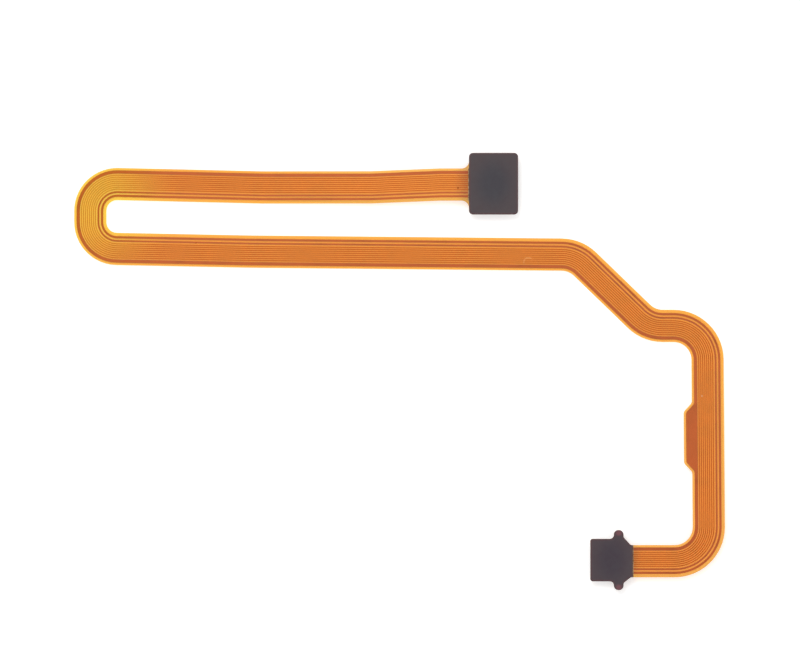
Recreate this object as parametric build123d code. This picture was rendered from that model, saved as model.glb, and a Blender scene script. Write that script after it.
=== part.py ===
from build123d import *
import os
from math import atan2, cos, radians, sin, tan

# Flexible printed cable: a strip of polyimide laminate with eleven copper conductors, a board-to-board
# socket under one end and a plug under the other, and a stiffener on top of each end. The strip is cut
# flat in a hairpin loop, a long arm, a diagonal, a leg and a short run. It lies on a table on its
# connectors and its film, so it climbs gently towards both ends.
# Frame: origin at the centre of the socket's mating face, +Z up, +X from the loop towards the leg and
# +Y from the plug towards the socket. Millimetres.

# Laminate, counted from the table upwards, and the hair's breadth left to each bond line
bond_line = 0.003
cover_thickness = 0.05
copper_thickness = 0.035
base_thickness = 0.05
glue_thickness = 0.03
stiffener_thickness = 0.18
stiffener_chamfer = 0.04

# Copper, counted across the strip from its ground side
ground_margin = 0.235
ground_width = 0.33
ground_gap = 0.11
contact_pitch = 0.4
contacts_per_row = 6
line_width = 0.1
supply_gap = 0.15
supply_width = 0.18
return_gap = 0.165
return_width = 0.22
supply_margin = 0.33
recess_clearance = 0.02

# Centre line of the strip, walked from the socket to the plug: runs from corner to corner
lead_run = 5.33
joggle_run = 6.9
middle_run = 10.9
upper_run = 17.19
loop_run = 6.5
return_run = 15.99
long_run = 32.51
diagonal_run = 10.23
shoulder_run = 5.85
leg_run = 23.51
plug_run = 9.75

# How far its runs lean, in degrees, and the radii of its corners
joggle_angle = 2.28
upper_lean = 1.34
return_lean = 1.14
long_lean = 0.55
diagonal_angle = 44.07
leg_lean = 0.36
loop_radius = 2.68
corner_radius = 3.4

# Tab on the ground side of the leg, measured along the leg from its top corner
tab_start = 7.69
tab_length = 6.92
tab_shoulder = 0.89
tab_depth = 0.82
tab_radius = 0.5

# Widened ends of the strip, each shifted off its connector towards the supply side, with a rim of film
# beyond each end of the connector's window
socket_pad_length = 4.91
socket_pad_rim = 0.775
socket_pad_shift = 0.205
socket_pad_radius = 0.4
flare_radius = 0.75
plug_pad_length = 4.24
plug_pad_rim = 0.32
plug_pad_shift = 0.176
plug_pad_radius = 0.25
ear_width = 0.97
ear_reach = 0.875
ear_setback = 0.72
ear_tip_radius = 0.46
ear_root_radius = 0.4
ear_shoulder = 0.165
neck_length = 0.725
neck_radius = 0.3
glue_reach = 0.08
glue_inset = 0.14

# Soldered side of both connectors, with heights counted from the copper
solder_gap = 0.03
contact_width = 0.15
contact_thickness = 0.08
contact_bevel = 0.05
slot_clearance = 0.01
foot_length = 0.34
land_width = 0.2
land_margin = 0.05
window_clearance = 0.08
crossing_length = 0.6
taper_length = 0.4
anchor_width = 1.0
anchor_thickness = 0.1
anchor_foot = 0.24
anchor_lip = 0.2
housing_corner = 0.1
rim_chamfer = 0.06

# Socket, with heights counted from the copper
socket_height = 0.75
socket_wall = 0.34
socket_groove = 0.55
socket_island = 0.7
socket_island_height = 0.6
socket_floor = 0.2
socket_end_groove = 0.44
socket_end_wall = 0.42
spring_height = 0.52
wall_spring_height = 0.42
bulge_depth = 0.09
bulge_length = 0.24

# Plug, with heights counted from the copper
plug_height = 0.6
plug_clearance = 0.08
plug_ridge = 0.34
plug_end_ridge = 0.28
plug_floor = 0.18
plug_spring_rest = 0.26

# Copper positions across the strip, worked out from the sizes above
line_pitch = contact_pitch / 2
line_count = 2 * (contacts_per_row - 2)
lines_width = (line_count - 1) * line_pitch + line_width
ground_side = ground_margin + ground_width + ground_gap
supply_side = supply_gap + supply_width + return_gap + return_width + supply_margin
strip_width = ground_side + lines_width + supply_side
half_strip = strip_width / 2
ground_edge = -half_strip + ground_margin
first_line = -half_strip + ground_side + line_width / 2
supply_edge = -half_strip + ground_side + lines_width + supply_gap
return_edge = supply_edge + supply_width + return_gap
copper_edge = return_edge + return_width
land_span = (contacts_per_row - 1) * contact_pitch
land_middle = first_line - contact_pitch + land_span / 2

# Heights of the layers and of the two ends
copper_bottom = cover_thickness + bond_line
copper_top = copper_bottom + copper_thickness
base_bottom = copper_top + bond_line
film_top = base_bottom + base_thickness
socket_lift = socket_height - copper_bottom
plug_lift = plug_height - copper_bottom

# Half sizes of the connectors, and the places of their lands
groove_half_x = socket_island / 2 + socket_groove
island_half_y = (land_span + contact_width) / 2
groove_half_y = island_half_y + socket_end_groove
socket_half_x = groove_half_x + socket_wall
socket_half_y = groove_half_y + socket_end_wall
plug_half_x = groove_half_x - plug_clearance
plug_half_y = groove_half_y - plug_clearance
land_half = foot_length / 2 + land_margin
socket_row = socket_half_x + foot_length / 2
plug_row = plug_half_x + foot_length / 2
window_reach = land_margin + window_clearance
socket_pad_width = 2 * (socket_half_y + anchor_foot + window_reach + socket_pad_rim)
plug_pad_width = 2 * (plug_half_y + anchor_foot + window_reach + plug_pad_rim)
beyond = 100.0


# Route of the strip

def unit(heading):
    """Unit vector along a heading in degrees."""
    return Vector(cos(radians(heading)), sin(radians(heading)))


def walked(start, legs):
    """Corner points of a route given as (run, heading) pairs."""
    points = [start]
    for run, heading in legs:
        points.append(points[-1] + unit(heading) * run)
    return points


def turn_between(before, after):
    """Signed turn between two headings in degrees, left turns positive."""
    return (after - before + 180) % 360 - 180


legs = [
    (socket_row + land_half + lead_run, 180),
    (joggle_run, 180 + joggle_angle),
    (middle_run, 180),
    (upper_run, 180 - upper_lean),
    (loop_run, 270),
    (return_run, 360 - return_lean),
    (long_run, 360 - long_lean),
    (diagonal_run, 360 - diagonal_angle),
    (shoulder_run, 360),
    (leg_run, 270 + leg_lean),
    (plug_run + plug_row + land_half, 180),
]
bends = [0] * 3 + [loop_radius] * 2 + [0] + [corner_radius] * 4
turns = [turn_between(before[1], after[1]) for before, after in zip(legs, legs[1:])]
route = walked(Vector(socket_row + land_half, land_middle), legs)
middle_end, upper_end, loop_end, leg_top, leg_foot = (route[i] for i in (3, 4, 5, 9, 10))
leg_heading = legs[9][1]
plug_x = route[-1].X + plug_row + land_half
plug_y = route[-1].Y - land_middle


def side_line(across):
    """Corners of the line beside the centre line, as (point, radius) pairs."""
    corners = []
    for corner, leg, turn, bend in zip(route[1:], legs, turns, bends):
        out = unit(leg[1] + turn / 2 + 90) * (across / cos(radians(turn / 2)))
        radius = bend - across if turn > 0 else bend + across
        corners.append((corner + out, radius if bend else 0))
    return corners


def ground_line(across):
    """The side line on the ground side, with the tab's corners put in along the leg."""
    corners = side_line(across)
    inset = half_strip + across
    slide = inset * tan(atan2(tab_depth, tab_shoulder) / 2)
    begin, end = tab_start + slide, tab_start + tab_length - slide
    along, outward = unit(leg_heading), unit(leg_heading - 90)
    foot, crest = outward * -across, outward * (tab_depth - across)
    tab = [
        leg_top + along * begin + foot,
        leg_top + along * (begin + tab_shoulder) + crest,
        leg_top + along * (end - tab_shoulder) + crest,
        leg_top + along * end + foot,
    ]
    return corners[:9] + [(point, tab_radius) for point in tab] + corners[9:]


def at_socket(corners):
    """Plan points from (distance past the socket's centre, place across the strip, radius)."""
    return [(Vector(ahead, land_middle - across), radius) for ahead, across, radius in corners]


def at_plug(corners):
    """Plan points from (distance past the plug's centre, place across the strip, radius)."""
    return [
        (Vector(plug_x - ahead, plug_y + land_middle - across), radius)
        for ahead, across, radius in corners
    ]


def outline(corners):
    """Flat face inside a closed line of (point, radius) corners."""
    points, radii = zip(*corners)
    return Face(Wire(FilletPolyline(*points, radius=radii, close=True).edges()))


def polygon(points):
    """Flat face inside a closed line of points."""
    return Face(Wire(Polyline(*points, close=True).edges()))


# Bent laminate

arm_split = (upper_end.Y + loop_end.Y) / 2
socket_rise = (middle_end.X, -socket_pad_length / 2 - flare_radius)
plug_rise = (
    corner_radius - leg_top.Y,
    min(-corner_radius - leg_foot.Y, -plug_y - plug_pad_width / 2 - ear_reach),
)


def climbing_line(first, rise, lift, height):
    """Line at a height that climbs by lift between the two places of a rise."""
    start, end = rise
    return [(first, height), (start, height), (end, height + lift), (beyond, height + lift)]


def climbing_face(first, rise, lift, low, high):
    """Band between two heights that climbs from left to right."""
    under, over = (climbing_line(first, rise, lift, height) for height in (low, high))
    return polygon(under + over[::-1])


def layer(low, high):
    """All that lies between two heights above the film's underside, as the cable lies."""
    arm_plane = Plane((0, beyond, 0), x_dir=(1, 0, 0), z_dir=(0, -1, 0))
    leg_plane = Plane((beyond, 0, 0), x_dir=(0, -1, 0), z_dir=(-1, 0, 0))
    arm = arm_plane * climbing_face(-beyond, socket_rise, socket_lift, low, high)
    leg = leg_plane * climbing_face(-arm_split, plug_rise, plug_lift, low, high)
    return extrude(arm, beyond - arm_split) + extrude(leg, 2 * beyond)


def laid(face, bent):
    """A plan face as a piece of a bent layer."""
    return extrude(face, beyond, dir=(0, 0, 1)) & bent


# Films, glue and stiffeners

def socket_pad():
    """Corners of the socket's pad, from its supply side round to its ground side."""
    middle, half = land_middle + socket_pad_shift, socket_pad_width / 2
    reach = socket_pad_length / 2
    corners = [
        (-reach, middle + half),
        (reach, middle + half),
        (reach, middle - half),
        (-reach, middle - half),
    ]
    return [(ahead, across, socket_pad_radius) for ahead, across in corners]


def plug_pad():
    """Corners of the plug's pad with its two ears, from its ground side round to its supply side."""
    middle, half = land_middle + plug_pad_shift, plug_pad_width / 2
    back, front = -ear_setback - ear_width / 2, -ear_setback + ear_width / 2
    neck = [
        (back - neck_length, half_strip, neck_radius),
        (back, middle + half + ear_shoulder, neck_radius),
        (back, middle + half + ear_reach, ear_tip_radius),
        (front, middle + half + ear_reach, ear_tip_radius),
        (front, middle + half, ear_root_radius),
        (plug_pad_length / 2, middle + half, plug_pad_radius),
    ]
    ground = [(ahead, 2 * middle - across, radius) for ahead, across, radius in neck]
    ground[0] = (back - neck_length, -half_strip, neck_radius)
    return ground + neck[::-1]


def window(half_x, half_y):
    """Opening of the cover film round a connector's feet, in the connector's own place."""
    wide = 2 * (half_x + foot_length + window_reach)
    tall = 2 * (half_y + anchor_foot + window_reach)
    return Rectangle(wide, tall)


def film_outline():
    """The whole cable's outline in the flat."""
    near = -socket_pad_length / 2
    flare_in, flare_out = (near, half_strip, flare_radius), (near, -half_strip, flare_radius)
    return outline(
        at_socket([flare_in] + socket_pad() + [flare_out])
        + ground_line(-half_strip)
        + at_plug(plug_pad())
        + side_line(half_strip)[::-1]
    )


def cover_film():
    """Lower film: a plain sheet with one shallow recess for the copper and a window at each connector."""
    windows = [
        window(socket_half_x, socket_half_y),
        Pos(plug_x, plug_y) * window(plug_half_x, plug_half_y),
    ]
    low, high = ground_edge - recess_clearance, copper_edge + recess_clearance
    ends = [(0, low, 0), (0, high, 0)]
    recess = outline(
        at_socket(ends[::-1]) + ground_line(low) + at_plug(ends) + side_line(high)[::-1]
    )
    sheet = laid(film_outline() - windows, layer(0, base_bottom))
    return sheet - laid(recess, layer(cover_thickness, film_top))


def pad_face(name):
    """Outline of the stiffener over the socket or the plug."""
    if name == "socket":
        return outline(at_socket(socket_pad()))
    edge = -plug_pad_length / 2
    return outline(at_plug([(edge, half_strip, 0), (edge, -half_strip, 0)] + plug_pad()))


def glue_face(name):
    """Outline of the glue, cut smaller than the stiffener, with a bead squeezed out at the strip."""
    length = plug_pad_length if name == "plug" else socket_pad_length
    width = plug_pad_width if name == "plug" else socket_pad_width
    shift = plug_pad_shift if name == "plug" else socket_pad_shift
    middle, edge = land_middle + shift, -length / 2
    body = -ear_setback - ear_width / 2 if name == "plug" else edge
    face = patch(body + glue_inset, -edge - glue_inset, middle, width - 2 * glue_inset)
    face += patch(edge - glue_reach, body + 2 * glue_inset, 0, strip_width)
    if name == "socket":
        return Pos(0, land_middle) * face
    half_ear, reach = ear_width / 2 - glue_inset, ear_reach - glue_inset
    face += patch(-ear_setback - half_ear, -ear_setback + half_ear, middle, width + 2 * reach)
    return Pos(plug_x, plug_y + land_middle) * mirror(face, Plane.YZ)


def patch(back, front, middle, width):
    """Rectangle between two distances past a connector's centre, centred on a place across the strip."""
    return Pos((back + front) / 2, -middle) * Rectangle(front - back, width)


def stiffener(face, height):
    """Stiff plate with a broken top edge."""
    plate = extrude(Pos(0, 0, height) * face, stiffener_thickness, dir=(0, 0, 1))
    return chamfer(plate.faces().sort_by(Axis.Z)[-1].edges(), stiffener_chamfer)


# Copper

def stations(kind, row, line, width, land):
    """How a conductor ends at a connector: (distance past its centre, place across, width) stations."""
    start, near, far = -row - land_half, land_half - row, row - land_half
    if kind == "through":
        return [(row + land_half, line, width)]
    if kind == "near":
        taper = [(start - taper_length, line, width), (start, land, land_width)]
        return taper + [(near, land, land_width)]
    between = land + line_pitch
    crossing = [
        (-crossing_length / 2, between, line_width),
        (crossing_length / 2, land, line_width),
        (far, land, line_width),
        (far, land, land_width),
        (row + land_half, land, land_width),
    ]
    if kind == "far":
        return crossing
    return [(start - taper_length, line, width), (start, between, line_width)] + crossing


def tail(ends):
    """End of a conductor from its ground side round to its supply side."""
    ground = [(ahead, across - width / 2, 0) for ahead, across, width in ends]
    supply = [(ahead, across + width / 2, 0) for ahead, across, width in ends]
    return ground + supply[::-1]


def conductor(kind, line, width, land):
    """One copper track from its land under the socket to its land under the plug."""
    low, high = line - width / 2, line + width / 2
    near_side = ground_line(low) if kind == "through" else side_line(low)
    socket_tail = tail(stations(kind, socket_row, line, width, land))
    plug_tail = tail(stations(kind, plug_row, line, width, land))
    return outline(
        at_socket(socket_tail[::-1]) + near_side + at_plug(plug_tail) + side_line(high)[::-1]
    )


def tracks():
    """Every conductor's name, the way it ends, and its place, width and land across the strip."""
    lands = [land_middle - land_span / 2 + i * contact_pitch for i in range(contacts_per_row)]
    found = [("conductor_ground", "through", ground_edge + ground_width / 2, ground_width, lands[0])]
    for i in range(line_count):
        kind = "far" if i % 2 else "near"
        name = f"conductor_signal_{i + 1}"
        found.append((name, kind, first_line + i * line_pitch, line_width, lands[1 + i // 2]))
    supply, back = supply_edge + supply_width / 2, return_edge + return_width / 2
    found.append(("conductor_supply", "near", supply, supply_width, lands[-1]))
    found.append(("conductor_return", "narrowed", back, return_width, lands[-1]))
    return found


def anchor_lands(x, y, half_y, height):
    """The two copper lands beyond the ends of a connector."""
    land = Rectangle(anchor_width + 2 * land_margin, anchor_foot + 2 * land_margin)
    out = half_y + anchor_foot / 2
    faces = [Pos(x, y + side * out, height) * land for side in (-1, 1)]
    return [extrude(face, copper_thickness) for face in faces]


# Connectors, each drawn on its solder side with +Z towards its mating face

def bar(plane, points, width):
    """Straight bar with a section given by its corner points."""
    return extrude(plane * polygon(points), width / 2, both=True)


def block(half_x, half_y, low, high):
    """Box centred on the connector between two heights."""
    return Pos(0, 0, (low + high) / 2) * Box(2 * half_x, 2 * half_y, high - low)


def contact_places():
    """Where the contacts of both rows stand."""
    steps = [i * contact_pitch - land_span / 2 for i in range(contacts_per_row)]
    return [Rot(0, 0, turn) * Pos(0, step, 0) for turn in (180, 0) for step in steps]


def anchor(half_y, height):
    """Bent metal clip that solders one end of a housing down and laps over its rim."""
    inner, lip, foot = half_y - anchor_thickness, half_y - anchor_lip, half_y + anchor_foot
    roof = height - anchor_thickness
    section = [
        (foot, 0),
        (inner, 0),
        (inner, roof),
        (lip, roof),
        (lip, height),
        (half_y - contact_bevel, height),
        (half_y, height - contact_bevel),
        (half_y, anchor_thickness),
        (foot, anchor_thickness),
    ]
    return bar(Plane.YZ, section, anchor_width)


def anchor_recess(half_y, height):
    """What the clip's place takes out of the housing."""
    inner, lip = half_y - anchor_thickness, half_y - anchor_lip
    roof, out, over = height - anchor_thickness, half_y + anchor_lip, height + anchor_lip
    section = [(out, 0), (inner, 0), (inner, roof), (lip, roof), (lip, over), (out, over)]
    return bar(Plane.YZ, section, anchor_width)


def socket_contact():
    """Fork spring of one socket position, with its foot outside the housing."""
    island, wall, foot = socket_island / 2, groove_half_x, socket_half_x + foot_length
    thick, bulge = contact_thickness, spring_height - bulge_length / 2
    section = [
        (foot, 0),
        (island + contact_bevel, 0),
        (island, contact_bevel),
        (island, spring_height),
        (island + thick, spring_height),
        (island + thick + bulge_depth, bulge + contact_bevel / 2),
        (island + thick + bulge_depth, bulge - contact_bevel / 2),
        (island + thick, spring_height - bulge_length),
        (island + thick, thick),
        (wall - thick, thick),
        (wall - thick, wall_spring_height),
        (wall, wall_spring_height),
        (wall, thick),
        (foot, thick),
    ]
    return bar(Plane.XZ, section, contact_width)


def socket_slot():
    """What one contact's place takes out of the socket's floor and wall."""
    island, wall, out = socket_island / 2, groove_half_x, socket_half_x + foot_length
    over = socket_floor + slot_clearance
    section = [(island, 0), (out, 0), (out, contact_thickness), (wall, contact_thickness)]
    section += [(wall, over), (island, over)]
    return bar(Plane.XZ, section, contact_width + 2 * slot_clearance)


def plug_contact():
    """Strip of one plug position, bent over the ridge, with its foot outside the housing."""
    outer, inner, foot = plug_half_x, plug_half_x - plug_ridge, plug_half_x + foot_length
    thick, roof = contact_thickness, plug_height - contact_thickness
    section = [
        (foot, 0),
        (outer - thick, 0),
        (outer - thick, roof),
        (inner + thick, roof),
        (inner + thick, plug_spring_rest),
        (inner, plug_spring_rest),
        (inner, plug_height - contact_bevel),
        (inner + contact_bevel, plug_height),
        (outer - contact_bevel, plug_height),
        (outer, plug_height - contact_bevel),
        (outer, thick),
        (foot, thick),
    ]
    return bar(Plane.XZ, section, contact_width)


def plug_slot():
    """What one contact's place takes out of the plug's ridge."""
    outer, inner = plug_half_x, plug_half_x - plug_ridge
    thick, roof = contact_thickness, plug_height - contact_thickness
    out, over, into = outer + foot_length, plug_height + foot_length, inner - slot_clearance
    section = [(out, 0), (outer - thick, 0), (outer - thick, roof), (inner + thick, roof)]
    section += [(inner + thick, plug_spring_rest), (into, plug_spring_rest), (into, over), (out, over)]
    return bar(Plane.XZ, section, contact_width + 2 * slot_clearance)


def housing(half_x, half_y, height, hollow, slot):
    """Moulded body with its hollow, its broken corners and the places of its contacts and clips."""
    body = block(half_x, half_y, solder_gap, height)
    body = chamfer(body.edges().filter_by(Axis.Z), housing_corner) - hollow
    rim = body.faces().filter_by(Axis.Z).sort_by(Axis.Z)[-1]
    body = chamfer(rim.inner_wires()[0].edges(), rim_chamfer)
    places = [place * slot for place in contact_places()]
    recess = anchor_recess(half_y, height)
    return body - places - [recess, Rot(0, 0, 180) * recess]


def socket_housing():
    """Body with a groove round an island, which takes the mating plug's ridge."""
    hollow = block(groove_half_x, groove_half_y, socket_floor, socket_height)
    hollow -= block(socket_island / 2, island_half_y, socket_floor, socket_island_height)
    return housing(socket_half_x, socket_half_y, socket_height, hollow, socket_slot())


def plug_housing():
    """Body with a ridge round a trough, which takes the mating socket's island."""
    inner_y = plug_half_y - plug_end_ridge
    hollow = block(plug_half_x - plug_ridge, inner_y, plug_floor, plug_height)
    return housing(plug_half_x, plug_half_y, plug_height, hollow, plug_slot())


def connector(name, x, y, height, half_y, body, contact):
    """Named pieces of one connector, turned over under the film with its mating face down."""
    pieces = {f"{name}_housing": body}
    for i, place in enumerate(contact_places()):
        pieces[f"{name}_contact_{i + 1}"] = place * contact
    for i, turn in enumerate((0, 180)):
        pieces[f"{name}_anchor_{i + 1}"] = Rot(0, 0, turn) * anchor(half_y, height)
    seat = Pos(x, y, height) * Rot(180, 0, 0)
    return {piece: seat * shape for piece, shape in pieces.items()}


# The whole cable

def cable():
    """Every piece by its name."""
    copper = layer(copper_bottom, copper_top)
    pieces = {
        "cover_film": cover_film(),
        "base_film": laid(film_outline(), layer(base_bottom, film_top)),
    }
    for name, kind, line, width, land in tracks():
        pieces[name] = laid(conductor(kind, line, width, land), copper)
    pieces["anchor_lands"] = Compound(
        anchor_lands(0, 0, socket_half_y, socket_height)
        + anchor_lands(plug_x, plug_y, plug_half_y, plug_height)
    )
    for name, lift in (("socket", socket_lift), ("plug", plug_lift)):
        top = film_top + bond_line + lift
        pieces[f"{name}_glue"] = extrude(Pos(0, 0, top) * glue_face(name), glue_thickness, dir=(0, 0, 1))
        pieces[f"{name}_stiffener"] = stiffener(pad_face(name), top + glue_thickness)
    pieces |= connector(
        "socket", 0, 0, socket_height, socket_half_y, socket_housing(), socket_contact()
    )
    pieces |= connector(
        "plug", plug_x, plug_y, plug_height, plug_half_y, plug_housing(), plug_contact()
    )
    return pieces


os.makedirs("parts", exist_ok=True)
for name, shape in cable().items():
    export_step(shape, f"parts/{name}.step")
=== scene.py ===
"""Finishes a flat flex cable: films, copper, plates, connectors and solder, on a pale floor in soft light."""

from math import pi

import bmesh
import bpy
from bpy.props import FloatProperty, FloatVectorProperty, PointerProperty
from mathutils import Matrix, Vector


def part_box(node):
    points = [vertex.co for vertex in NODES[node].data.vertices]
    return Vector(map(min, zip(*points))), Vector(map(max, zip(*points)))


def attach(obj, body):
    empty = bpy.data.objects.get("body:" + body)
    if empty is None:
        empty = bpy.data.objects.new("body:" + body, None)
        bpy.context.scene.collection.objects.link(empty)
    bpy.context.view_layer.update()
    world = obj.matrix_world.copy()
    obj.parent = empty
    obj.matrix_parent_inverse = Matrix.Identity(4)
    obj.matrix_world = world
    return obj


bl_info = {
    "name": "Flat flex cable",
    "version": (1, 0, 0),
    "blender": (4, 5, 0),
    "location": "3D View > Sidebar > Flex cable",
    "description": "Gives a flexible printed cable its films, copper, plates, connectors, solder and studio",
    "category": "Object",
}

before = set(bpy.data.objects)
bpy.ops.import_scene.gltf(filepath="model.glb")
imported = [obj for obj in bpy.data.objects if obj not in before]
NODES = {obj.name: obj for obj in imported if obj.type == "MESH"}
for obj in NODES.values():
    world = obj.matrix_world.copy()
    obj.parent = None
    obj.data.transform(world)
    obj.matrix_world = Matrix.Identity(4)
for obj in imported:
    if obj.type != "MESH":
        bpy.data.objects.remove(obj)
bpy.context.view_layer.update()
MM = 0.001

# The colour of white light, and what a fully clear layer lets through
WHITE = (1, 1, 1, 1)

# The photograph's frame: its middle on the table, and how much of the table its width takes in
VIEW_MIDDLE = (-9.345 * MM, -15.315 * MM)
VIEW_WIDTH = 80.0 * MM

# The camera: its sensor's width in millimetres, and how near it can see
SENSOR = 36.0
CLIP_START = 0.01

# The table's half side, and how far it lies under the cable, so that their faces never share a plane
TABLE_REACH = 0.6
TABLE_GAP = 0.02 * MM

# The room is darker straight above: it fades between these heights, where 1 is straight up, to this share
DARK_ABOVE = (0.75, 0.98)
DARK_SHARE = 0.3

# The soft box, and where it stands from the view's middle
LAMP_SIZE = 0.25
LAMP_PLACE = (-0.12, 0.28, 0.42)

# Marks of use on the film, in millimetres: a dark speck, a faint one and a pale one
DARK_SPECK = (-3.545, -0.615)
FAINT_SPECK = (-29.745, -6.115)
PALE_SPECK = (20.83, -21.41)
SPECK_RADIUS = 0.13
SPECK_SOFTNESS = 0.9

# A thin pale arc on the film, also in millimetres: the circle that it is an arc of, and the middle and reach
# of what shows
PALE_ARC_CENTRE = (3.5, -8.065)
PALE_ARC_RADIUS = 0.44
PALE_ARC_WIDTH = 0.13
PALE_ARC_SOFTNESS = 0.1
PALE_ARC_MIDDLE = (3.3, -7.7)
PALE_ARC_REACH = 0.68

# A painted sheen makes the film and the copper yellower round the hairpin loop: middle and reach of that
# patch, in millimetres
LOOP_SHEEN_MIDDLE = (-40.15, -1.6)
LOOP_SHEEN_REACH = 9.5
LOOP_SHEEN_SOFTNESS = 0.85

# How the cable climbs to its two ends: from and to which place along X on the arm and along Y on the leg, and
# how high. Only what lies past ARM_SIDE along Y is the arm that climbs.
ARM_RISE = (-23.125 * MM, -3.205 * MM, 0.697 * MM)
LEG_RISE = (-17.803 * MM, -34.513 * MM, 0.547 * MM)
ARM_SIDE = -3.4 * MM

# Of the bonded faces, what lies less than this over the cable's underside is the floor of the copper's recess
RECESS_TOP = 0.07 * MM

# A film's face is bonded where the outward part of its normal is under this
BONDED = -0.5

# The film's colour deepens down the leg, between these places along Y
LEG_FADE = (-20 * MM, -36 * MM)

# How far round each stiffener the film is tinted darker, in millimetres from the connector's middle
STIFFENER_DARKENING = {"socket": 4.2, "plug": 3.2}
STIFFENER_DARKENING_SOFTNESS = 0.42

# Where the stain lies on the plug's two ears: past the plate's middle along X, and in from an ear's tip. Its
# radius is in millimetres.
EAR_PLACE = 0.72 * MM
EAR_TIP = 0.276 * MM
STAIN_RADIUS = 0.42
STAIN_SOFTNESS = 0.7

# A stiffener turns to its rim's colour between these shares of the way from its middle to its edge
RIM_REACH = (0.25, 1.05)

# The painted reflection on the rounding of its face, a browner border: how wide it is, the cosines of the
# rounding's lean where it starts and where it is full, and how brown it gets
EDGE_REFLECTION_WIDTH = 0.3 * MM
EDGE_REFLECTION_TURN = (1.0, 0.95)
EDGE_REFLECTION_SHARE = 0.9

# How far up a stiffener's surface points, as the Z of its normal, where its punched side ends and its face
# starts
FACE_TILT = (0.3, 0.9)

# Real sizes of what makes each surface uneven: how far across its patches, grains or lines are. Casting and
# rolling lines and the grain of mouldings are finer in truth, and are drawn this coarse so that they show.
CASTING_PATCH = 3.85 * MM
CASTING_WAVE = 2.0 * MM
CASTING_LINE = 0.11 * MM
FOIL_PATCH = 1.1 * MM
FOIL_GRAIN = 0.033 * MM
RESIN_PATCH = 0.67 * MM
GLASS_PITCH = 0.35 * MM
RESIN_GRAIN = 0.0625 * MM
GLUE_BEAD = 0.22 * MM
FLOW_STREAK = 0.4 * MM
MOULD_GRAIN = 0.045 * MM
PLATING_CLOUD = 0.17 * MM
STAMPING_LINE = 0.125 * MM

# Flow streaks run along a housing and stamping lines along a contact, so each is finer across
STREAK_SCALE = (4, 1, 1)
STAMPING_SCALE = (1, 12, 1)

# How deep such relief is, and the deeper one of the weave, and how high the film's waves and the weave stand
# against the grain that lies on them
RELIEF = 0.002 * MM
WEAVE_RELIEF = 0.003 * MM
WAVE_HEIGHT = 8.0
WEAVE_HEIGHT = 0.5

# A wave texture of scale 1 repeats at this distance
WAVE_UNIT = pi / 10

# Noise lies mostly between 0.3 and 0.7: patches rise over all of that, its upper part or its crests alone,
# or within the middle of it, which gives clear beads
EVENLY = (0.3, 0.7)
UPPER = (0.35, 0.75)
CRESTS = (0.4, 0.8)
BEADS = (0.42, 0.58)

# How much of its own colour each kind of patch shows, at most
CASTING_SHARE = 0.05
OXIDE_SHARE = 0.18
RESIN_SHARE = 0.14
STREAK_SHARE = 0.5
CLOUD_SHARE = 0.5

# How much smoother and how much rougher than elsewhere a metal gets in its patches
FOIL_SPREAD = (-0.06, 0.1)
PLATING_SPREAD = (-0.05, 0.08)

# Solder stands up a foot's side to half of its thickness or a little more, and is drawn up in rings
SOLDER_HEIGHT = 0.05 * MM
RINGS = 3


def named(*words):
    """CAD nodes whose name holds one of these words."""
    return [NODES[name] for name in sorted(NODES) if any(word in name for word in words)]


def linear(code):
    """Linear RGBA of an sRGB hex colour."""
    values = [int(code[i : i + 2], 16) / 255 for i in (1, 3, 5)]
    return [v / 12.92 if v <= 0.04045 else ((v + 0.055) / 1.055) ** 2.4 for v in values] + [1.0]


def add(tree, kind, inputs=None, **settings):
    """Adds a node, sets its properties, and gives each input a value or a link."""
    made = tree.nodes.new(kind)
    for name, value in settings.items():
        setattr(made, name, value)
    for key, value in (inputs or {}).items():
        if isinstance(value, bpy.types.NodeSocket):
            tree.links.new(value, made.inputs[key])
        else:
            made.inputs[key].default_value = value
    return made


def blank_material(name):
    """An empty material, with its node tree and its output node."""
    material = bpy.data.materials.new(name)
    material.use_nodes = True
    material.node_tree.nodes.clear()
    return material, material.node_tree, add(material.node_tree, "ShaderNodeOutputMaterial")


def dress(objects, material):
    """Gives objects one material for all their faces."""
    for item in objects:
        item.data.materials.clear()
        item.data.materials.append(material)


def spot(tree, place, centre, radius, softness=0.5):
    """Mask that is 1 inside a small round place on the cable, seen from above, and fades at its edge.

    Its centre and radius are in millimetres, and its softness is the share of the radius that it fades over.
    """
    flat = add(tree, "ShaderNodeVectorMath", {0: place, 1: (1, 1, 0)}, operation="MULTIPLY")
    middle = (centre[0] * MM, centre[1] * MM, 0)
    gap = add(tree, "ShaderNodeVectorMath", {0: flat.outputs[0], 1: middle}, operation="DISTANCE")
    edges = {0: gap.outputs["Value"], 1: radius * MM * (1 - softness), 2: radius * MM, 3: 1, 4: 0}
    return add(tree, "ShaderNodeMapRange", edges, interpolation_type="SMOOTHSTEP").outputs[0]


def patches(tree, place, size, detail, levels, values):
    """Value that drifts over a surface in patches of a real size, from one value to another.

    It starts to rise at the first of two levels of a noise, and has risen at the second.
    """
    noise = {"Vector": place, "Scale": 1 / size, "Detail": detail}
    noise = add(tree, "ShaderNodeTexNoise", noise).outputs["Fac"]
    drift = {0: noise, 1: levels[0], 2: levels[1], 3: values[0], 4: values[1]}
    return add(tree, "ShaderNodeMapRange", drift).outputs[0]


def grained(tree, place, size, detail, strength):
    """Normal of a surface with a fine grain of a real size."""
    grain = {"Vector": place, "Scale": 1 / size, "Detail": detail}
    grain = add(tree, "ShaderNodeTexNoise", grain).outputs["Fac"]
    bump = {"Height": grain, "Strength": strength, "Distance": RELIEF}
    return add(tree, "ShaderNodeBump", bump).outputs[0]


def painted(tree, base, *coats):
    """Colour of a base coat after further coats, each laid on through its mask."""
    for mask, coat in coats:
        layer = {"Factor": mask, "A": base, "B": coat}
        base = add(tree, "ShaderNodeMix", layer, data_type="RGBA").outputs["Result"]
    return base


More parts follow.
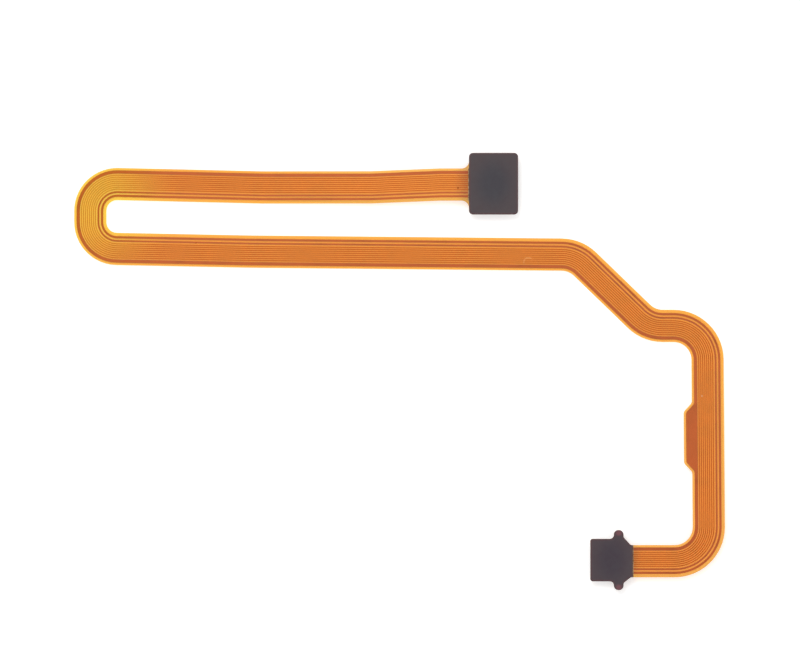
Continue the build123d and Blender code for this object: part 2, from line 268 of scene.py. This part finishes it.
def tone(name, description, code):
    """Property for a colour, whose default is given as an sRGB hex value."""
    return FloatVectorProperty(name=name, description=description, subtype="COLOR", size=4,
                               min=0.0, max=1.0, default=linear(code))


def share(name, description, default):
    """Property for a roughness or another share of 1."""
    return FloatProperty(name=name, description=description, subtype="FACTOR", default=default, min=0, max=1)


class FilmSettings(bpy.types.PropertyGroup):
    tint: tone("Tint", "Colour of white light after one film", "#FADEA1")
    loop_sheen_tint: tone("Loop sheen tint", "The same at the hairpin loop", "#FBEAA2")
    leg_tint: tone("Leg tint", "The same at the foot of the leg", "#FADA9C")
    patch_tint: tone("Patch tint", "The same in the thicker patches of a casting", "#F5CE93")
    stiffener_side_tint: tone("Stiffener-side tint", "The same beside a stiffener", "#ECD0A3")
    dark_speck: tone("Dark speck", "The same through the speck by the socket", "#C48A3C")
    faint_speck: tone("Faint speck", "The same through the speck on the long arm", "#E6BC7A")
    pale_speck: tone("Pale speck", "The same through the speck on the leg", "#FFF4D8")
    pale_arc: tone("Pale arc", "The same through the pale arc", "#FFEFC2")
    recess_glue_and_shade: tone("Glue and shade", "Tint of the glue and painted shade between the tracks", "#FFF3F1")
    ior: FloatProperty(name="IOR", description="Refractive index of polyimide", default=1.6, min=1.0, max=3.0)
    polish: share("Polish", "Share of a mirror's gloss", 0.5)
    roughness: share("Roughness", "Of the film's face", 0.22)


class CopperSettings(bpy.types.PropertyGroup):
    track: tone("Track", "Broad tracks", "#E2989F")
    loop_sheen_track: tone("Loop sheen track", "Broad tracks at the hairpin loop", "#D68564")
    line: tone("Line", "Fine lines", "#EF915F")
    loop_sheen_line: tone("Loop sheen line", "Fine lines at the hairpin loop", "#F8BC63")
    oxide: tone("Oxide", "Duller patches of the foil", "#9C5A3E")
    roughness: share("Roughness", "Of rolled foil", 0.45)


class PlateSettings(bpy.types.PropertyGroup):
    socket_middle: tone("Socket middle", "Middle of the socket's plate", "#39353C")
    socket_rim: tone("Socket rim", "The same plate towards its rim", "#473C3F")
    plug_middle: tone("Plug middle", "Middle of the plug's plate", "#3B303A")
    plug_rim: tone("Plug rim", "The same plate towards its rim", "#473A3F")
    edge_reflection: tone("Edge reflection", "Painted reflection just beside the edge", "#583638")
    edge: tone("Cut edge", "Punched edge", "#33272A")
    ear: tone("Ear", "Stain on the plug's ears", "#70444A")
    resin: tone("Resin", "Resin-rich patches", "#4B5052")
    glue: tone("Glue", "Bonding film where it stands out in beads", "#B89C78")
    hollow: tone("Hollow", "Bonding film between its beads", "#8C6A46")
    roughness: share("Roughness", "Of the plate's face", 0.42)
    edge_roughness: share("Edge roughness", "Of the punched edge", 0.85)
    glue_roughness: share("Glue roughness", "Of the bonding film", 0.3)


class ConnectorSettings(bpy.types.PropertyGroup):
    housing: tone("Housing", "Moulding", "#1B1B1D")
    streak: tone("Streak", "Flow streaks of the moulding", "#3A3A3D")
    housing_roughness: share("Housing roughness", "Of the moulding", 0.5)
    gold: tone("Gold", "Contacts", "#E2B25E")
    gold_shade: tone("Gold shade", "Duller patches of the contacts", "#C98F3F")
    gold_roughness: share("Gold roughness", "Of the contacts", 0.22)
    tin: tone("Tin", "Clips and solder", "#CFCFCB")
    tin_shade: tone("Tin shade", "Duller patches of the clips", "#A7A7A2")
    tin_roughness: share("Tin roughness", "Of the clips", 0.32)
    solder_shade: tone("Solder shade", "Duller patches of the solder", "#8E8E8B")
    solder_roughness: share("Solder roughness", "Of the solder", 0.24)
    fillet: FloatProperty(name="Solder fillet", description="How far solder reaches past a foot",
                          default=0.045 * MM, unit="LENGTH")


class StageSettings(bpy.types.PropertyGroup):
    distance: FloatProperty(name="Camera height", description="Above the table", default=0.8, unit="LENGTH")
    world: FloatProperty(name="World", description="Strength of the light from all round",
                         default=0.97, min=0)
    key: FloatProperty(name="Key light", description="Power of the soft box",
                       default=0.9, min=0, unit="POWER")
    floor: tone("Floor", "Table", "#E2E1E0")
    glow: share("Glow", "How much brighter than its paint the table looks to the camera", 0.45)


class FLEX_OT_films(bpy.types.Operator):
    """Polyimide film on both sides of the copper"""

    bl_idname = "flex.films"
    bl_label = "Films"

    def execute(self, context):
        settings = context.scene.flex_film
        dress([NODES["base_film"]], polyimide_film("Polyimide film, upper", settings, 1))
        dress([NODES["cover_film"]], polyimide_film("Polyimide film, lower", settings, -1))
        return {"FINISHED"}


def polyimide_film(name, settings, side):
    """Cast polyimide: a clear amber film that gilds what lies under it, with a soft satin gloss.

    Only the outer face (side 1 up, -1 down) and the cut edges tint and shine. The bonded faces between
    the two films are left clear, because glue wets them on the real cable and no reflection shows there.
    The floor of the recess between the tracks takes a warmer, darker tint: partly the glue that fills it,
    partly painted shade.
    """
    material, tree, output = blank_material(name)
    place = add(tree, "ShaderNodeTexCoord").outputs["Object"]
    geometry = add(tree, "ShaderNodeNewGeometry")
    across = add(tree, "ShaderNodeSeparateXYZ", {0: geometry.outputs["Normal"]}).outputs["Z"]
    flip = add(tree, "ShaderNodeMapRange", {0: geometry.outputs["Backfacing"], 3: side, 4: -side}).outputs[0]
    outward = add(tree, "ShaderNodeMath", {0: across, 1: flip}, operation="MULTIPLY").outputs[0]
    outer = add(tree, "ShaderNodeMath", {0: outward, 1: BONDED}, operation="GREATER_THAN").outputs[0]

    down = add(tree, "ShaderNodeSeparateXYZ", {0: place}).outputs["Y"]
    down = add(tree, "ShaderNodeMapRange", {0: down, 1: LEG_FADE[0], 2: LEG_FADE[1]}).outputs[0]
    # A painted sheen: the film's tint turns yellower round the hairpin loop
    loop = spot(tree, place, LOOP_SHEEN_MIDDLE, LOOP_SHEEN_REACH, LOOP_SHEEN_SOFTNESS)
    thicker = patches(tree, place, CASTING_PATCH, 3, EVENLY, (0, CASTING_SHARE))
    coats = [(down, settings.leg_tint), (loop, settings.loop_sheen_tint), (thicker, settings.patch_tint)]
    # The film is tinted darker round each stiffener
    for end, reach in STIFFENER_DARKENING.items():
        low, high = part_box(f"{end}_housing")
        pressed = spot(tree, place, (low + high).xy / (2 * MM), reach, STIFFENER_DARKENING_SOFTNESS)
        coats.append((pressed, settings.stiffener_side_tint))
    coats.append((spot(tree, place, DARK_SPECK, SPECK_RADIUS, SPECK_SOFTNESS), settings.dark_speck))
    coats.append((spot(tree, place, FAINT_SPECK, SPECK_RADIUS, SPECK_SOFTNESS), settings.faint_speck))
    coats.append((spot(tree, place, PALE_SPECK, SPECK_RADIUS), settings.pale_speck))
    coats.append((pale_arc(tree, place), settings.pale_arc))
    tint = painted(tree, settings.tint, *coats)

    # Fine drawing lines of the casting belt and the waviness of a laminated strip
    grain = {"Vector": place, "Scale": 1 / CASTING_LINE, "Detail": 2}
    grain = add(tree, "ShaderNodeTexNoise", grain).outputs["Fac"]
    waves = {"Vector": place, "Scale": 1 / CASTING_WAVE, "Detail": 1}
    waves = add(tree, "ShaderNodeTexNoise", waves).outputs["Fac"]
    relief = {0: waves, 1: WAVE_HEIGHT, 2: grain}
    relief = add(tree, "ShaderNodeMath", relief, operation="MULTIPLY_ADD").outputs[0]
    bump = add(tree, "ShaderNodeBump", {"Height": relief, "Strength": 0.35, "Distance": RELIEF}).outputs[0]

    clear = add(tree, "ShaderNodeBsdfTransparent", {"Color": tint})
    shine = {"Color": WHITE, "Roughness": settings.roughness, "Normal": bump}
    shine = add(tree, "ShaderNodeBsdfAnisotropic", shine)
    facing = add(tree, "ShaderNodeFresnel", {"IOR": settings.ior, "Normal": bump}).outputs[0]
    front = add(tree, "ShaderNodeMath", {0: 1.0, 1: geometry.outputs["Backfacing"]}, operation="SUBTRACT")
    gloss = add(tree, "ShaderNodeMath", {0: facing, 1: front.outputs[0]}, operation="MULTIPLY").outputs[0]
    gloss = add(tree, "ShaderNodeMath", {0: gloss, 1: settings.polish}, operation="MULTIPLY").outputs[0]
    skin = add(tree, "ShaderNodeMixShader", {0: gloss, 1: clear.outputs[0], 2: shine.outputs[0]})
    # The recess between the tracks takes the glue's tint and a painted shade, which give way to the painted
    # sheen round the hairpin loop
    glue_and_shade_tint = painted(tree, settings.recess_glue_and_shade, (loop, WHITE))
    glue_and_shade_tint = painted(tree, WHITE, (recess_floor(tree, place), glue_and_shade_tint))
    inside = add(tree, "ShaderNodeBsdfTransparent", {"Color": glue_and_shade_tint})
    whole = add(tree, "ShaderNodeMixShader", {0: outer, 1: inside.outputs[0], 2: skin.outputs[0]})
    tree.links.new(whole.outputs[0], output.inputs["Surface"])
    return material


def recess_floor(tree, place):
    """Mask of the lower film's face under the copper, wherever the cable lies or climbs."""
    axes = add(tree, "ShaderNodeSeparateXYZ", {0: place}).outputs
    arm = {0: axes["X"], 1: ARM_RISE[0], 2: ARM_RISE[1], 3: 0.0, 4: ARM_RISE[2]}
    arm = add(tree, "ShaderNodeMapRange", arm).outputs[0]
    on_arm = add(tree, "ShaderNodeMath", {0: axes["Y"], 1: ARM_SIDE}, operation="GREATER_THAN").outputs[0]
    leg = {0: axes["Y"], 1: LEG_RISE[0], 2: LEG_RISE[1], 3: 0.0, 4: LEG_RISE[2]}
    leg = add(tree, "ShaderNodeMapRange", leg).outputs[0]
    lift = add(tree, "ShaderNodeMath", {0: arm, 1: on_arm, 2: leg}, operation="MULTIPLY_ADD").outputs[0]
    height = add(tree, "ShaderNodeMath", {0: axes["Z"], 1: lift}, operation="SUBTRACT").outputs[0]
    return add(tree, "ShaderNodeMath", {0: height, 1: RECESS_TOP}, operation="LESS_THAN").outputs[0]


def pale_arc(tree, place):
    """Mask of a thin pale arc on the film."""
    outer = spot(tree, place, PALE_ARC_CENTRE, PALE_ARC_RADIUS + PALE_ARC_WIDTH, PALE_ARC_SOFTNESS)
    inner = spot(tree, place, PALE_ARC_CENTRE, PALE_ARC_RADIUS, PALE_ARC_SOFTNESS)
    ring = add(tree, "ShaderNodeMath", {0: outer, 1: inner}, operation="SUBTRACT").outputs[0]
    part = spot(tree, place, PALE_ARC_MIDDLE, PALE_ARC_REACH)
    return add(tree, "ShaderNodeMath", {0: ring, 1: part}, operation="MULTIPLY").outputs[0]


class FLEX_OT_copper(bpy.types.Operator):
    """Copper foil of the conductors and lands"""

    bl_idname = "flex.copper"
    bl_label = "Copper"

    def execute(self, context):
        settings = context.scene.flex_copper
        broad = copper_foil("broad tracks", settings.track, settings.loop_sheen_track, settings)
        # Fine lines are a lit copy of the same copper: their warmer colour is painted light for their etched
        # sides
        fine = copper_foil("fine lines", settings.line, settings.loop_sheen_line, settings)
        dress(named("conductor", "anchor_lands"), broad)
        dress(named("conductor_signal"), fine)
        return {"FINISHED"}


def copper_foil(name, colour, loop_sheen_colour, settings):
    """Rolled and etched copper foil: a satin metal with a faint grain and duller patches.

    A fine line's etched sides catch as much light as its face, so it is painted warmer than a broad track.
    """
    material, tree, output = blank_material(f"Copper foil, rolled and etched, {name}")
    place = add(tree, "ShaderNodeTexCoord").outputs["Object"]
    # A painted sheen: the copper turns yellower round the hairpin loop
    loop = spot(tree, place, LOOP_SHEEN_MIDDLE, LOOP_SHEEN_REACH, LOOP_SHEEN_SOFTNESS)
    dull = patches(tree, place, FOIL_PATCH, 3, UPPER, (0, OXIDE_SHARE))
    colour = painted(tree, colour, (loop, loop_sheen_colour), (dull, settings.oxide))
    satin = [settings.roughness + change for change in FOIL_SPREAD]
    satin = patches(tree, place, FOIL_PATCH, 3, EVENLY, satin)
    grain = grained(tree, place, FOIL_GRAIN, 1, strength=0.2)
    metal = {"Base Color": colour, "Metallic": 1.0, "Roughness": satin, "Normal": grain}
    metal = add(tree, "ShaderNodeBsdfPrincipled", metal)
    tree.links.new(metal.outputs[0], output.inputs["Surface"])
    return material


class FLEX_OT_plates(bpy.types.Operator):
    """Stiffener plates and the bonding film under them"""

    bl_idname = "flex.plates"
    bl_label = "Stiffeners"

    def execute(self, context):
        settings = context.scene.flex_plate
        dress([NODES["socket_stiffener"]], stiffener_plate("socket", settings))
        dress([NODES["plug_stiffener"]], stiffener_plate("plug", settings))
        dress(named("_glue"), bonding_film(settings))
        return {"FINISHED"}


def stiffener_plate(name, settings):
    """Glass-epoxy laminate, punched: near-black grey with a resin gloss, browner towards its rim."""
    material, tree, output = blank_material(f"Glass-epoxy laminate, punched, {name}")
    low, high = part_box(f"{name}_stiffener")
    middle, half = (low + high) / 2, (high - low) / 2
    place = add(tree, "ShaderNodeTexCoord").outputs["Object"]
    local = add(tree, "ShaderNodeVectorMath", {0: place, 1: middle}, operation="SUBTRACT").outputs[0]
    local = {0: local, 1: (1 / half.x, 1 / half.y, 0)}
    local = add(tree, "ShaderNodeVectorMath", local, operation="MULTIPLY").outputs[0]
    reach = add(tree, "ShaderNodeVectorMath", {0: local}, operation="LENGTH").outputs["Value"]
    rim = {0: reach, 1: RIM_REACH[0], 2: RIM_REACH[1]}
    rim = add(tree, "ShaderNodeMapRange", rim, interpolation_type="SMOOTHSTEP").outputs[0]
    coats = [(rim, getattr(settings, f"{name}_rim"))]
    # A painted reflection: the face is browner just beside the edge, where it rounds over
    normal = add(tree, "ShaderNodeNewGeometry").outputs["Normal"]
    rounded = add(tree, "ShaderNodeBevel", {"Radius": EDGE_REFLECTION_WIDTH}, samples=6).outputs[0]
    turned = {0: rounded, 1: normal}
    turned = add(tree, "ShaderNodeVectorMath", turned, operation="DOT_PRODUCT").outputs["Value"]
    edge_reflection = {0: turned, 1: EDGE_REFLECTION_TURN[0], 2: EDGE_REFLECTION_TURN[1], 3: 0.0, 4: EDGE_REFLECTION_SHARE}
    edge_reflection = add(tree, "ShaderNodeMapRange", edge_reflection).outputs[0]
    coats.append((edge_reflection, settings.edge_reflection))
    if name == "plug":
        for side in (-1, 1):
            tip = (middle.x + EAR_PLACE, middle.y + side * (half.y - EAR_TIP))
            stain = spot(tree, place, [along / MM for along in tip], STAIN_RADIUS, STAIN_SOFTNESS)
            coats.append((stain, settings.ear))
    # Resin-rich mottling over the glass weave
    coats.append((patches(tree, place, RESIN_PATCH, 4, UPPER, (0, RESIN_SHARE)), settings.resin))
    face_colour = painted(tree, getattr(settings, f"{name}_middle"), *coats)
    # The punched side is painted darker than the face, a painted shade
    up = add(tree, "ShaderNodeSeparateXYZ", {0: normal}).outputs["Z"]
    face = add(tree, "ShaderNodeMapRange", {0: up, 1: FACE_TILT[0], 2: FACE_TILT[1]}).outputs[0]
    colour = painted(tree, settings.edge, (face, face_colour))
    satin = {0: face, 3: settings.edge_roughness, 4: settings.roughness}
    satin = add(tree, "ShaderNodeMapRange", satin).outputs[0]

    weave = {"Vector": place, "Scale": WAVE_UNIT / GLASS_PITCH, "Distortion": 1.5}
    weave = add(tree, "ShaderNodeTexWave", weave).outputs["Fac"]
    grain = {"Vector": place, "Scale": 1 / RESIN_GRAIN, "Detail": 2}
    grain = add(tree, "ShaderNodeTexNoise", grain).outputs["Fac"]
    relief = {0: weave, 1: WEAVE_HEIGHT, 2: grain}
    relief = add(tree, "ShaderNodeMath", relief, operation="MULTIPLY_ADD").outputs[0]
    bump = {"Height": relief, "Strength": 0.25, "Distance": WEAVE_RELIEF}
    bump = add(tree, "ShaderNodeBump", bump).outputs[0]
    plate = {"Base Color": colour, "Roughness": satin, "Normal": bump, "IOR": 1.5}
    plate = add(tree, "ShaderNodeBsdfPrincipled", plate)
    tree.links.new(plate.outputs[0], output.inputs["Surface"])
    return material


def bonding_film(settings):
    """Pressed acrylic bonding film: a pale, slightly cloudy plastic with a wet-looking bead."""
    material, tree, output = blank_material("Acrylic bonding film, pressed")
    place = add(tree, "ShaderNodeTexCoord").outputs["Object"]
    beads = patches(tree, place, GLUE_BEAD, 2, BEADS, (0, 1))
    colour = painted(tree, settings.hollow, (beads, settings.glue))
    glue = {"Base Color": colour, "Roughness": settings.glue_roughness, "IOR": 1.49}
    glue = add(tree, "ShaderNodeBsdfPrincipled", glue)
    tree.links.new(glue.outputs[0], output.inputs["Surface"])
    return material


class FLEX_OT_connectors(bpy.types.Operator):
    """Mouldings, contacts and clips of the socket and the plug"""

    bl_idname = "flex.connectors"
    bl_label = "Connectors"

    def execute(self, context):
        settings = context.scene.flex_connector
        gold = (settings.gold, settings.gold_shade, settings.gold_roughness)
        tin = (settings.tin, settings.tin_shade, settings.tin_roughness)
        dress(named("_housing"), moulded_polymer(settings))
        dress(named("_contact_"), plated_metal("Gold plate on copper alloy", *gold))
        dress(named("_anchor_"), plated_metal("Tin plate on copper alloy", *tin))
        return {"FINISHED"}


def moulded_polymer(settings):
    """Liquid-crystal polymer, moulded: black with fine grey flow streaks from the gate and a low gloss."""
    material, tree, output = blank_material("Liquid-crystal polymer, moulded")
    place = add(tree, "ShaderNodeTexCoord").outputs["Object"]
    along = add(tree, "ShaderNodeMapping", {"Vector": place, "Scale": STREAK_SCALE}).outputs[0]
    streaks = patches(tree, along, FLOW_STREAK, 4, CRESTS, (0, STREAK_SHARE))
    colour = painted(tree, settings.housing, (streaks, settings.streak))
    grain = grained(tree, place, MOULD_GRAIN, 2, strength=0.3)
    polymer = {"Base Color": colour, "Roughness": settings.housing_roughness, "IOR": 1.6, "Normal": grain}
    polymer = add(tree, "ShaderNodeBsdfPrincipled", polymer)
    tree.links.new(polymer.outputs[0], output.inputs["Surface"])
    return material


def plated_metal(name, colour, shade, roughness):
    """Electroplate on a stamped strip: a bright metal whose satin follows the stamping's fine lines."""
    material, tree, output = blank_material(name)
    place = add(tree, "ShaderNodeTexCoord").outputs["Object"]
    dull = patches(tree, place, PLATING_CLOUD, 3, CRESTS, (0, CLOUD_SHARE))
    colour = painted(tree, colour, (dull, shade))
    satin = [roughness + change for change in PLATING_SPREAD]
    satin = patches(tree, place, PLATING_CLOUD, 3, EVENLY, satin)
    along = add(tree, "ShaderNodeMapping", {"Vector": place, "Scale": STAMPING_SCALE}).outputs[0]
    lines = grained(tree, along, STAMPING_LINE, 1, strength=0.15)
    metal = {"Base Color": colour, "Metallic": 1.0, "Roughness": satin, "Normal": lines}
    metal = add(tree, "ShaderNodeBsdfPrincipled", metal)
    tree.links.new(metal.outputs[0], output.inputs["Surface"])
    return material


class FLEX_OT_solder(bpy.types.Operator):
    """Solder fillets round the feet of contacts and clips"""

    bl_idname = "flex.solder"
    bl_label = "Solder"

    def execute(self, context):
        settings = context.scene.flex_connector
        solder = (settings.tin, settings.solder_shade, settings.solder_roughness)
        material = plated_metal("Solder, reflowed", *solder)
        for name in ("socket", "plug"):
            shape = bmesh.new()
            body_low, body_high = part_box(f"{name}_housing")
            for foot in named(f"{name}_contact_", f"{name}_anchor_"):
                solder_fillet(shape, foot.name, body_low, body_high, settings.fillet)
            piece = new_piece(f"{name}_solder", shape, material)
            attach(piece, "root")
        return {"FINISHED"}


def solder_fillet(shape, foot, body_low, body_high, reach):
    """A hollow-sided heap of solder under the part of a foot that sticks out beside its housing.

    A patch the size of the foot and its fillet is drawn off the land in rings that close in on the metal.
    """
    low, high = (corner.copy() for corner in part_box(foot))
    axis = 1 if "_anchor_" in foot else 0
    if (low[axis] + high[axis]) / 2 < (body_low[axis] + body_high[axis]) / 2:
        high[axis] = body_low[axis]
    else:
        low[axis] = body_high[axis]
    middle, size = (low + high) / 2, high - low
    land = Matrix.Translation((middle.x, middle.y, high.z))
    patch = bmesh.ops.create_grid(shape, x_segments=1, y_segments=1, size=0.5, matrix=land)["verts"]
    rings = [[side + 2 * reach * (1 - k / RINGS) ** 2 for side in size.xy] for k in range(RINGS + 1)]
    stretch(shape, patch, land, *rings[0])
    top = bmesh.ops.extrude_face_region(shape, geom=list(patch[0].link_faces))["geom"]
    for k in range(1, RINGS + 1):
        corners = [part for part in top if isinstance(part, bmesh.types.BMVert)]
        bmesh.ops.translate(shape, vec=(0, 0, -SOLDER_HEIGHT / RINGS), verts=corners)
        wide, long = (inner / outer for inner, outer in zip(rings[k], rings[k - 1]))
        stretch(shape, corners, land, wide, long)
        if k < RINGS:
            faces = [part for part in top if isinstance(part, bmesh.types.BMFace)]
            faces = bmesh.ops.extrude_discrete_faces(shape, faces=faces)["faces"]
            top = faces + [vert for face in faces for vert in face.verts]


def stretch(shape, verts, centre, wide, long):
    """Scales vertices along X and Y about a place."""
    bmesh.ops.scale(shape, vec=(wide, long, 1), space=centre.inverted(), verts=verts)


def new_piece(name, shape, material):
    """Object of a finished bmesh, at the origin, with its faces turned outwards."""
    bmesh.ops.recalc_face_normals(shape, faces=shape.faces)
    mesh = bpy.data.meshes.new(name)
    shape.to_mesh(mesh)
    shape.free()
    mesh.materials.append(material)
    mesh.shade_smooth()
    piece = bpy.data.objects.new(name, mesh)
    bpy.context.scene.collection.objects.link(piece)
    return piece


class FLEX_OT_stage(bpy.types.Operator):
    """Pale floor, soft light and the camera straight above"""

    bl_idname = "flex.stage"
    bl_label = "Stage"

    def execute(self, context):
        settings = context.scene.flex_stage
        set_floor(settings)
        set_light(context.scene, settings)
        set_camera(context.scene, settings)
        context.scene.view_settings.view_transform = "Standard"
        return {"FINISHED"}


def set_floor(settings):
    """White laminate table, which a camera sees as white paper that still takes the cable's shadow."""
    shape = bmesh.new()
    bmesh.ops.create_grid(shape, x_segments=1, y_segments=1, size=TABLE_REACH)
    bmesh.ops.translate(shape, vec=(*VIEW_MIDDLE, -TABLE_GAP), verts=shape.verts)
    material, tree, output = blank_material("Melamine laminate, pressed, white")
    path = add(tree, "ShaderNodeLightPath")
    seen = {0: path.outputs["Is Camera Ray"], 1: path.outputs["Is Glossy Ray"]}
    seen = add(tree, "ShaderNodeMath", seen, operation="MAXIMUM").outputs[0]
    seen = {0: seen, 1: path.outputs["Is Transmission Ray"]}
    seen = add(tree, "ShaderNodeMath", seen, operation="MAXIMUM").outputs[0]
    lift = add(tree, "ShaderNodeMath", {0: seen, 1: settings.glow}, operation="MULTIPLY").outputs[0]
    paint = add(tree, "ShaderNodeBsdfDiffuse", {"Color": settings.floor})
    glow = add(tree, "ShaderNodeEmission", {"Color": WHITE, "Strength": lift})
    both = add(tree, "ShaderNodeAddShader", {0: paint.outputs[0], 1: glow.outputs[0]})
    # The table is clear from below, so that the connectors can be looked at from there
    under = add(tree, "ShaderNodeNewGeometry").outputs["Backfacing"]
    clear = add(tree, "ShaderNodeBsdfTransparent", {"Color": WHITE})
    whole = add(tree, "ShaderNodeMixShader", {0: under, 1: both.outputs[0], 2: clear.outputs[0]})
    tree.links.new(whole.outputs[0], output.inputs["Surface"])
    new_piece("table", shape, material)


def set_light(scene, settings):
    """Even light from all round, darker straight above where the camera hangs, and one soft box."""
    world = bpy.data.worlds.new("Soft white room")
    world.use_nodes = True
    tree = world.node_tree
    tree.nodes.clear()
    way = add(tree, "ShaderNodeTexCoord").outputs["Generated"]
    height = add(tree, "ShaderNodeSeparateXYZ", {0: way}).outputs["Z"]
    gap = {0: height, 1: DARK_ABOVE[0], 2: DARK_ABOVE[1], 3: 1.0, 4: DARK_SHARE}
    gap = add(tree, "ShaderNodeMapRange", gap).outputs[0]
    path = add(tree, "ShaderNodeLightPath").outputs["Is Camera Ray"]
    strength = add(tree, "ShaderNodeMath", {0: gap, 1: settings.world}, operation="MULTIPLY").outputs[0]
    strength = add(tree, "ShaderNodeMix", {"Factor": path, "A": strength, "B": 1.0}).outputs["Result"]
    room = add(tree, "ShaderNodeBackground", {"Color": WHITE, "Strength": strength})
    output = add(tree, "ShaderNodeOutputWorld")
    tree.links.new(room.outputs[0], output.inputs["Surface"])
    scene.world = world

    lamp = bpy.data.lights.new("soft_box", "AREA")
    lamp.size = LAMP_SIZE
    lamp.energy = settings.key
    box = bpy.data.objects.new("soft_box", lamp)
    middle = Vector((*VIEW_MIDDLE, 0))
    place = middle + Vector(LAMP_PLACE)
    turn = (middle - place).to_track_quat("-Z", "Y")
    box.matrix_world = Matrix.Translation(place) @ turn.to_matrix().to_4x4()
    scene.collection.objects.link(box)


def set_camera(scene, settings):
    """Camera straight above the middle of the photograph's frame."""
    lens = bpy.data.cameras.new("camera")
    lens.sensor_width = SENSOR
    lens.lens = SENSOR * settings.distance / VIEW_WIDTH
    lens.clip_start = CLIP_START
    camera = bpy.data.objects.new("camera", lens)
    camera.location = (*VIEW_MIDDLE, settings.distance)
    scene.collection.objects.link(camera)
    scene.camera = camera


class FLEX_PT_panel(bpy.types.Panel):
    """Finishes of the flat flex cable"""

    bl_idname = "FLEX_PT_panel"
    bl_label = "Flex cable"
    bl_space_type = "VIEW_3D"
    bl_region_type = "UI"
    bl_category = "Flex cable"

    def draw(self, context):
        for name, group in GROUPS.items():
            box = self.layout.box()
            for prop in group.__annotations__:
                box.prop(getattr(context.scene, name), prop)
        for operator in OPERATORS:
            self.layout.operator(operator.bl_idname)


GROUPS = {
    "flex_film": FilmSettings,
    "flex_copper": CopperSettings,
    "flex_plate": PlateSettings,
    "flex_connector": ConnectorSettings,
    "flex_stage": StageSettings,
}
OPERATORS = (
    FLEX_OT_films,
    FLEX_OT_copper,
    FLEX_OT_plates,
    FLEX_OT_connectors,
    FLEX_OT_solder,
    FLEX_OT_stage,
)


def register():
    for item in (*GROUPS.values(), *OPERATORS, FLEX_PT_panel):
        bpy.utils.register_class(item)
    for name, group in GROUPS.items():
        setattr(bpy.types.Scene, name, PointerProperty(type=group))


def unregister():
    for name in GROUPS:
        delattr(bpy.types.Scene, name)
    for item in reversed((*GROUPS.values(), *OPERATORS, FLEX_PT_panel)):
        bpy.utils.unregister_class(item)


def main():
    """Builds the whole scene."""
    register()
    bpy.ops.flex.films()
    bpy.ops.flex.copper()
    bpy.ops.flex.plates()
    bpy.ops.flex.connectors()
    bpy.ops.flex.solder()
    bpy.ops.flex.stage()


if __name__ == "__main__":
    main()
